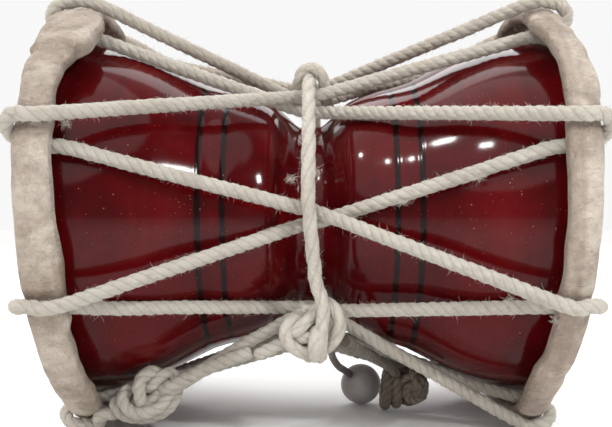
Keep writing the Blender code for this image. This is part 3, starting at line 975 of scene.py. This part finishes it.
def leg(side, angle, outermost):
    """One strand: from over its hoop, through its bunch at the waist, to inside the other hoop."""
    waist_radius = WAIST_LACING_RADIUS + (sizes().rope + ROPE_GAP if outermost else 0.0)
    inner = HOOP_INNER_X + hoop_shift(side, angle, True)
    start = on_drum(side * (inner + 1.4 * MM), over_radius(), seat(angle))
    end_angle = seat(angle + POINT_STEP) - HOLE_SHIFT
    end = on_drum(-side * HOOP_INNER_X, hole_radius(), end_angle)
    bunch = angle + POINT_STEP / 2
    spread = math.degrees((0.8 * MM if is_lifted(bunch) else 1.8 * MM) / waist_radius)
    waist_angle = bunch_angle(bunch) + (spread if outermost else -spread)
    slant = POINT_STEP / 2 * BUNCH_HALF / HOOP_INNER_X
    before = on_drum(side * BUNCH_HALF, waist_radius, waist_angle - slant)
    after = on_drum(-side * BUNCH_HALF, waist_radius, waist_angle + slant)
    straight = [start.lerp(before, share) for share in (0.0, 0.33, 0.67, 1.0)]
    rising = [after.lerp(end, share) for share in (0.0, 0.2, 0.4, 0.6, 0.8, 1.0)]
    return straight + [clear_of_body(point) for point in rising]


def round_hoop(side, nominal):
    """The turn of a rope from inside its hoop, out through the hide and back over the hoop."""
    angle = seat(nominal)
    outer = HOOP_OUTER_X + hoop_shift(side, nominal, False)
    middle = (hole_radius() + HOLE_RISE + over_radius()) / 2
    reach = over_radius() - middle
    points = [on_drum(side * (HOOP_OUTER_X - 4 * MM), hole_radius(), angle - HOLE_SHIFT)]
    for step in range(7):
        turn = math.radians(-90 + 30 * step)
        tuck = max(0.0, 1 - step / 3)
        tight = TURN_TIGHT * max(0.0, math.sin(turn)) ** 2
        x = outer + 0.2 * MM + 1.5 * MM * math.cos(turn) - 2.0 * MM * tuck - tight
        shift = HOLE_SHIFT * (1 - step / 6) ** 1.5
        points.append(on_drum(side * x, middle + reach * math.sin(turn), angle - shift))
    points.append(on_drum(side * (outer - 2.6 * MM), over_radius() + 0.1 * MM, angle))
    return points


def knot_points(centre, offsets):
    """Points of a knot by their places to the right, up and out towards the front, in mm."""
    return [centre + Vector((right, -out, up)) * MM for right, up, out in offsets]


TIE_CENTRE = Vector((-48.6, -27.8, 12.0)) * MM
# The tie from the hoop's side to the waist's side
TIE_WAY = (
    (-13.5, -6.0, 1.2), (-9.0, -5.6, -0.2), (-4.0, -5.4, -1.4), (-1.6, -3.4, 0.2),
    (-1.0, -0.8, 2.9), (-1.3, 2.4, 3.9), (-0.6, 5.4, 3.0), (1.8, 6.9, 0.4), (3.6, 4.6, -3.0),
    (1.6, 0.2, -4.2), (-3.2, -1.6, -3.8), (-7.4, -0.6, -2.2), (-9.0, -2.6, 0.2), (-6.8, -5.4, 1.2),
    (-2.6, -6.6, 0.9), (2.6, -6.2, 0.2), (7.2, -3.2, -0.8), (8.8, 1.4, -2.6), (7.8, 5.6, -1.8),
    (5.0, 5.9, 0.4), (1.8, 3.0, 0.8), (-2.6, 2.4, -0.6), (-5.6, 1.4, 0.8), (-6.2, -1.4, 2.4),
    (-3.6, -4.2, 3.2), (0.8, -4.6, 3.1), (4.6, -3.0, 2.2), (6.4, -0.4, 0.6), (8.8, 2.2, 0.4),
    (12.6, 4.6, 0.4),
)


def lacing_points(first_angle, outermost):
    """One closed circuit: from hoop to hoop, once round the drum. The outermost has the tie."""
    points = []
    side = -1
    angle = first_angle
    for _ in range(LACING_POINTS):
        strand = leg(side, angle, outermost)
        if outermost and abs(angle - TIE_ANGLE) < 1.0:
            strand = [strand[0]] + knot_points(TIE_CENTRE, TIE_WAY) + strand[2:]
        points += strand
        side = -side
        angle += POINT_STEP
        points += round_hoop(side, angle)
    return points


# The tie's loose end, and a strand that fills its middle
TIE_TAIL = (
    (4.0, 1.0, -1.6), (7.0, 2.6, 1.6), (12.0, 5.2, 2.8), (19.0, 8.8, 3.2), (26.0, 11.6, 3.3),
    (31.5, 13.4, 3.0),
)
TIE_CORE = ((-4.5, -2.5, 0.2), (0.5, -2.2, 0.6), (4.8, 1.2, -0.6))
# Places of the loose clumps on the lacing, in mm
TUFTS = (
    (-61.8, -57.0, 88.5), (25.0, -45.5, 68.7), (43.6, -53.0, 75.1), (51.4, -57.0, 43.7),
    (63.0, -58.0, 38.4),
)


def make_lacing():
    """The two circuits of the lacing, the outer one with its tie."""
    outer = Shell()
    rope, lay, fuzz = sizes().rope, sizes().lay, sizes().fuzz
    lay_rope(outer, lacing_points(POINT_STEP / 2, True), rope, lay, True, 1, fuzz=fuzz)
    tail = knot_points(TIE_CENTRE, TIE_TAIL)
    lay_rope(outer, tail, rope * 1.05, lay, False, 2, fuzz=fuzz, blunt=True)
    lay_rope(outer, knot_points(TIE_CENTRE, TIE_CORE), rope, lay, False, 4, blunt=True)
    for seed, place in enumerate(TUFTS):
        add_tuft(outer, place, seed)
    dressed(outer.piece("lacing_rope_outer", cotton()), "outer_lacing_rope")
    inner = Shell()
    lay_rope(inner, lacing_points(-POINT_STEP / 2, False), rope, lay, True, 3, fuzz=fuzz)
    dressed(inner.piece("lacing_rope_inner", cotton()), "inner_lacing_rope")


# Waist cord

WAIST_KNOT = Vector((0.0, -35.8, 31.4)) * MM
# From the front of the waist down through the knot and away under the drum
WAIST_WAY = (
    (1.6, 15.5, 5.6), (2.9, 11.6, 5.3), (3.5, 8.4, 5.2), (3.5, 5.0, 5.0), (3.2, 1.8, 4.9),
    (2.9, -1.6, 4.9), (2.9, -4.7, 4.3), (3.0, -6.0, 2.2), (3.0, -4.2, -0.4), (2.2, -0.4, -2.0),
    (0.0, 2.8, -1.8), (-3.2, 4.4, -0.2), (-5.8, 3.6, 2.0), (-6.9, 0.3, 3.0), (-5.2, -3.2, 3.0),
    (-1.6, -5.0, 2.0), (2.2, -4.8, 0.8), (5.0, -3.4, 1.6), (7.3, -0.8, 2.6), (8.2, 2.4, 3.0),
    (7.8, 5.4, 3.0), (6.2, 8.0, 2.4), (4.0, 8.8, 1.4), (1.4, 6.2, 1.8), (-1.0, 4.0, 3.0),
    (-3.6, 1.4, 2.8), (-5.6, -0.6, 0.4), (-4.4, -3.0, -2.8), (-1.0, -6.2, -5.4),
)
# The bight over the cord at the top of the waist
TOP_BIGHT = (
    (-3.8, -4.2, -3.0), (-3.7, -1.8, -1.0), (-2.6, 1.0, 0.2), (0.0, 2.3, 0.6), (2.8, 1.0, 0.4),
    (4.0, -1.8, -0.8), (4.6, -5.0, -2.4), (5.4, -9.0, -6.0),
)
# Places of the loose clumps on the waist cord, in mm
CORD_TUFTS = ((-4.9, -43.0, 75.0), (1.0, -47.5, 76.4), (-2.0, -42.0, 40.2))
# The cord's hidden turn between its two front strands, and the rounded turn under them
KNOT_INNER = (
    (2.4, 8.6, 1.4), (5.0, 6.6, 1.8), (6.0, 4.2, 1.6), (5.8, 1.2, 0.8), (5.2, -1.6, 0.6),
    (3.0, -3.6, 0.4),
)
KNOT_LOBE = (
    (2.6, 2.0, 2.4), (2.2, 0.0, 4.4), (1.9, -2.4, 5.2), (1.8, -4.6, 4.6), (2.0, -5.8, 2.4),
    (2.6, -4.8, -0.4),
)
# The cord's cut end, from the knot to the left
KNOT_STUB = (
    (7.4, 3.4, 0.4), (4.6, 1.6, 1.2), (1.8, 0.3, 2.2), (-1.2, -0.6, 2.5), (-4.0, -1.2, 1.2),
    (-7.6, -2.4, 0.8), (-11.6, -4.4, 0.8), (-15.6, -6.2, 0.8),
)

# The cord's points round the drum, in degrees, from under the knot to the front of the waist
CORD_ANGLES = (
    -75, -92, -112, -135, -158, -180, -202, -225, -247, -262, -275, -291, -305, -321, -338, -356,
)


def make_waist_cord():
    """The cord round the waist, with its bight at the top and its knot at the front."""
    rope, lay, fuzz = sizes().rope, sizes().lay, sizes().fuzz
    radius = WAIST_LACING_RADIUS + 2 * (rope + ROPE_GAP) - 0.2 * MM
    shell = Shell()
    points = []
    for angle in CORD_ANGLES:
        behind = max(0.0, -math.cos(math.radians(angle)))
        points.append(on_drum((-0.4 + 3.4 * behind) * MM, radius, angle))
    cord = knot_points(WAIST_KNOT, WAIST_WAY) + points
    lay_rope(shell, cord, rope * 0.98, lay * 2.4, True, 5, depth=0.15, fuzz=fuzz)
    top = on_drum(0.2 * MM, radius + 0.6 * MM, 66.0)
    lay_rope(shell, knot_points(top, TOP_BIGHT), rope * 0.95, lay * 1.5, False, 7, fuzz=fuzz)
    strands = (
        (KNOT_STUB, 0.95, 1.0, 8, fuzz),
        (KNOT_INNER, 0.95, 1.0, 21, 0.0),
        (KNOT_LOBE, 1.25, 2.0, 22, fuzz),
    )
    for way, width, length, seed, loose in strands:
        points = knot_points(WAIST_KNOT, way)
        lay_rope(shell, points, rope * width, lay * length, False, seed, fuzz=loose, blunt=True)
    for seed, place in enumerate(CORD_TUFTS):
        add_tuft(shell, place, seed + 20)
    dressed(shell.piece("cord_round_waist", cotton()), "waist_cord")


# Strikers

# The brown rope's lay as a share of the lacing's, and the length of its loose fibres
BROWN_LAY = 0.8
BROWN_FUZZ = 1.2 * MM
# The thong's section: its sides, how square it is and the way that its flat face turns
THONG_SIDES = 20
THONG_SQUARENESS = 0.6
THONG_FACE = Vector((0.1, -1.0, 0.3))


def squared(value):
    """A sine or cosine, bent so that a round section becomes a flat one with round corners."""
    return math.copysign(abs(value) ** THONG_SQUARENESS, value)


def make_strap():
    """The flat thong: a rounded flat section along its route."""
    points = [Vector(point) for point in STRAP_ROUTE]
    line = smooth_line(points, 0.5 * MM)
    tangents, _, _ = frames_along(line, False)
    along = distances(line, False)
    rings = []
    for i, centre in enumerate(line):
        thin = (THONG_FACE - tangents[i] * THONG_FACE.dot(tangents[i])).normalized()
        wide = tangents[i].cross(thin)
        ring = []
        for j in range(THONG_SIDES):
            turn = math.tau * j / THONG_SIDES
            across = squared(math.cos(turn)) * sizes().strap / 2
            deep = squared(math.sin(turn)) * sizes().strap_thickness / 2
            ring.append(centre + wide * across + thin * deep)
        rings.append(ring)
    shell = Shell()
    shell.tube(rings, along, False)
    strap = shell.piece("thong", strap_finish())
    dressed(strap, "striker_strap")
    make_bead()


def make_bead():
    """The round striker: a sphere with a flat underneath and a worn mouth where the thong goes in."""
    radius = sizes().bead / 2
    centre = middle_of(BEAD_LOW, BEAD_HIGH)
    mouth = (Vector(STRAP_ROUTE[-1]) - centre).normalized()
    deselect_all()
    bpy.ops.mesh.primitive_uv_sphere_add(segments=64, ring_count=40, radius=radius)
    bead = bpy.context.object
    bead.name = "smooth_ball"
    for corner in bead.data.vertices:
        way = corner.co.normalized()
        out = radius * (1 + 0.006 * ripple(way, 1.7, 3))
        off = way.angle(mouth) * radius
        out -= 0.7 * MM * math.exp(-((off / (1.3 * MM)) ** 2))
        out += 0.14 * MM * math.exp(-(((off - 2.1 * MM) / (0.5 * MM)) ** 2))
        spot = centre + way * out
        spot.z = max(spot.z, BEAD_LOW[2] + 0.02 * MM)
        corner.co = spot
    bead.data.materials.append(bead_finish())
    bead.data.shade_smooth()
    return dressed(bead, "striker_bead")


def make_wad():
    """The second striker's knot: two upright wraps on the left and a rolled end that faces the front."""
    shell = Shell()
    centre = middle_of(*WAD_BOX)
    circle = [math.tau * step / 14 for step in range(14)]

    def wind(offsets, width, seed, closed=False, fuzz=BROWN_FUZZ):
        thickness, lay = sizes().striker_rope * width, sizes().lay * BROWN_LAY
        points = knot_points(centre, offsets)
        lay_rope(shell, points, thickness, lay, closed, seed, fuzz=fuzz, blunt=not closed)

    for k, (right, tilt) in enumerate(((-5.2, 6.0), (-2.3, -4.0))):
        wrap = []
        for turn in circle:
            up = (5.4 - 0.5 * k) * math.sin(turn)
            lean = math.sin(math.radians(tilt)) * up
            wrap.append((right + lean, up - 0.6, 5.0 * math.cos(turn)))
        wind(wrap, 1.0, 11 + k, True)
    whorl = []
    for step in range(26):
        share = step / 25
        turn = math.radians(200 - 640 * share)
        reach = 4.6 * (1 - share) ** 0.8 + 0.3
        whorl.append((3.3 + reach * math.cos(turn), -0.4 + reach * math.sin(turn), 2.2 + 3.6 * share))
    wind(whorl, 0.86, 14)
    wind([(3.3, -0.4, out) for out in (-1.5, 0.5, 2.5, 4.6)], 1.5, 16, fuzz=0.0)
    wind([(3.6, 6.6, 1.4), (3.2, 4.4, 3.4), (4.8, 1.0, 5.0), (7.0, -3.0, 3.2)], 0.8, 17)
    back = [(2.6 + 4.8 * math.cos(turn), -0.2 + 5.0 * math.sin(turn), -2.4) for turn in circle]
    wind(back, 1.1, 15, True)
    return dressed(shell.piece("knotted_end", brown()), "striker_knot")


def make_striker_rope():
    """The second striker's rope, with its knot."""
    shell = Shell()
    points = [Vector(point) for point in STRIKER_ROPE_ROUTE]
    thickness, lay = sizes().striker_rope, sizes().lay * BROWN_LAY
    line = lay_rope(shell, points, thickness, lay, False, 9, fuzz=BROWN_FUZZ)
    rope = shell.piece("rope_of_knotted_striker", brown_in_shade())
    dressed(rope, "striker_rope")
    make_wad()


# Stage

# Way to the broad light, its strength, its spread in degrees and its tint
SUN_WAY = (-0.26, -0.50, 0.90)
SUN_STRENGTH = 2.1
SUN_SPREAD = 84.0
SUN_TINT = (1.0, 0.985, 0.965)
FLOOR_RADIUS = 4.0
LAMP_DISTANCE = 0.62
# Place of the overhead light from the drum's middle, its width, height and power
OVERHEAD = ((0.0, 0.55, 0.85), 1.3, 0.7, 8.0)
# Name, way to it, width, height and power of each lamp
LAMPS = (
    ("right_softbox", (0.57, -0.60, 0.50), 0.055, 0.065, 1.35),
    ("left_lamp_high", (-0.52, -0.36, 0.77), 0.040, 0.032, 0.55),
    ("left_lamp_near", (-0.33, -0.60, 0.71), 0.036, 0.030, 0.50),
)


def make_camera():
    camera = placed("camera", bpy.data.cameras.new("camera"))
    camera.data.sensor_width = SENSOR
    camera.data.lens = FOCAL_PIXELS / IMAGE_WIDTH * SENSOR
    camera.data.shift_x = SHIFT_X
    camera.data.shift_y = SHIFT_Y
    camera.data.clip_start = 0.01
    camera.location = (0.0, -CAMERA_DISTANCE, AXIS_HEIGHT)
    camera.rotation_euler = (math.radians(90 - CAMERA_PITCH), 0.0, 0.0)
    bpy.context.scene.camera = camera


def add_light(name, place, target, width, height, power):
    """A soft rectangular light that faces a point."""
    lamp = bpy.data.lights.new(name, "AREA")
    lamp.shape = "RECTANGLE"
    lamp.size = width
    lamp.size_y = height
    lamp.energy = power
    thing = placed(name, lamp)
    thing.location = place
    thing.rotation_euler = (target - place).to_track_quat("-Z", "Y").to_euler()


def make_sky():
    """An even studio surround: bright behind the drum, dimmer behind the camera."""
    sky = Weave("studio", world=True)
    way = sky.split(sky.add("ShaderNodeTexCoord").outputs["Generated"])
    upward = sky.grade(way["Z"], 0.0, 0.6, 0.34, 0.15)
    behind = sky.grade(way["Y"], -0.35, 0.45, 0.0, 0.94)
    sky.set(Color=(1.0, 1.0, 1.0, 1.0), Strength=sky.math("MAXIMUM", upward, behind))
    bpy.context.scene.world = sky.owner


def add_sun():
    """The broad soft light from far away."""
    lamp = bpy.data.lights.new("broad_light", "SUN")
    lamp.energy = SUN_STRENGTH
    lamp.angle = math.radians(SUN_SPREAD)
    lamp.color = SUN_TINT
    placed("broad_light", lamp).rotation_euler = Vector(SUN_WAY).to_track_quat("Z", "Y").to_euler()


def make_stage():
    """A plain pale floor, a broad soft light from above and small lamps that the lacquer mirrors."""
    deselect_all()
    bpy.ops.mesh.primitive_circle_add(vertices=96, radius=FLOOR_RADIUS, fill_type="NGON")
    floor = bpy.context.object
    floor.name = "floor"
    floor.data.materials.append(floor_finish())
    make_sky()
    add_sun()
    middle = Vector((0.0, 0.0, AXIS_HEIGHT))
    for name, way, width, height, power in LAMPS:
        add_light(name, middle + LAMP_DISTANCE * Vector(way).normalized(), middle, width, height, power)
    way, width, height, power = OVERHEAD
    add_light("overhead", middle + Vector(way), middle, width, height, power)
    bpy.context.scene.view_settings.view_transform = "Standard"


class DAMARU_OT_camera(bpy.types.Operator):
    """Places the camera at the photograph's viewing angle"""

    bl_idname = "damaru.camera"
    bl_label = "Camera"

    def execute(self, context):
        make_camera()
        return {"FINISHED"}


class DAMARU_OT_strikers(bpy.types.Operator):
    """Makes the two strikers: the thong with its ball and the rope with its knotted end"""

    bl_idname = "damaru.strikers"
    bl_label = "Strikers"

    def execute(self, context):
        make_strap()
        make_striker_rope()
        return {"FINISHED"}


class DAMARU_OT_body(bpy.types.Operator):
    """Turns the hollow hourglass body and lacquers it"""

    bl_idname = "damaru.body"
    bl_label = "Turned body"

    def execute(self, context):
        make_body()
        return {"FINISHED"}


class DAMARU_OT_heads(bpy.types.Operator):
    """Stretches the two hides over their hoops"""

    bl_idname = "damaru.heads"
    bl_label = "Hides"

    def execute(self, context):
        make_head("left_hide", -1, "left_drumhead")
        make_head("right_hide", 1, "right_drumhead")
        return {"FINISHED"}


class DAMARU_OT_lacing(bpy.types.Operator):
    """Laces the drum with its two circuits of rope"""

    bl_idname = "damaru.lacing"
    bl_label = "Lacing"

    def execute(self, context):
        make_lacing()
        return {"FINISHED"}


class DAMARU_OT_waist_cord(bpy.types.Operator):
    """Ties the cord that pulls the lacing in at the waist"""

    bl_idname = "damaru.waist_cord"
    bl_label = "Waist cord"

    def execute(self, context):
        make_waist_cord()
        return {"FINISHED"}


class DAMARU_OT_stage(bpy.types.Operator):
    """Sets the pale floor and the soft studio light"""

    bl_idname = "damaru.stage"
    bl_label = "Stage and lights"

    def execute(self, context):
        make_stage()
        return {"FINISHED"}


class DAMARU_PT_panel(bpy.types.Panel):
    """Lists the drum's sizes, colours and steps"""

    bl_idname = "DAMARU_PT_panel"
    bl_label = "Damaru drum"
    bl_space_type = "VIEW_3D"
    bl_region_type = "UI"
    bl_category = "Damaru"

    def draw(self, context):
        for group in (context.scene.damaru_sizes, context.scene.damaru_colours):
            box = self.layout.box()
            for name in group.__annotations__:
                box.prop(group, name)
        for operator in OPERATORS:
            self.layout.operator(operator.bl_idname)


OPERATORS = (
    DAMARU_OT_camera,
    DAMARU_OT_strikers,
    DAMARU_OT_body,
    DAMARU_OT_heads,
    DAMARU_OT_lacing,
    DAMARU_OT_waist_cord,
    DAMARU_OT_stage,
)
CLASSES = (DamaruSizes, DamaruColours, *OPERATORS, DAMARU_PT_panel)


def register():
    for made in CLASSES:
        bpy.utils.register_class(made)
    bpy.types.Scene.damaru_sizes = PointerProperty(type=DamaruSizes)
    bpy.types.Scene.damaru_colours = PointerProperty(type=DamaruColours)


def unregister():
    del bpy.types.Scene.damaru_colours
    del bpy.types.Scene.damaru_sizes
    for made in reversed(CLASSES):
        bpy.utils.unregister_class(made)


def main():
    register()
    bpy.ops.damaru.camera()
    bpy.ops.damaru.strikers()
    bpy.ops.damaru.body()
    bpy.ops.damaru.heads()
    bpy.ops.damaru.lacing()
    bpy.ops.damaru.waist_cord()
    bpy.ops.damaru.stage()


if __name__ == "__main__":
    main()
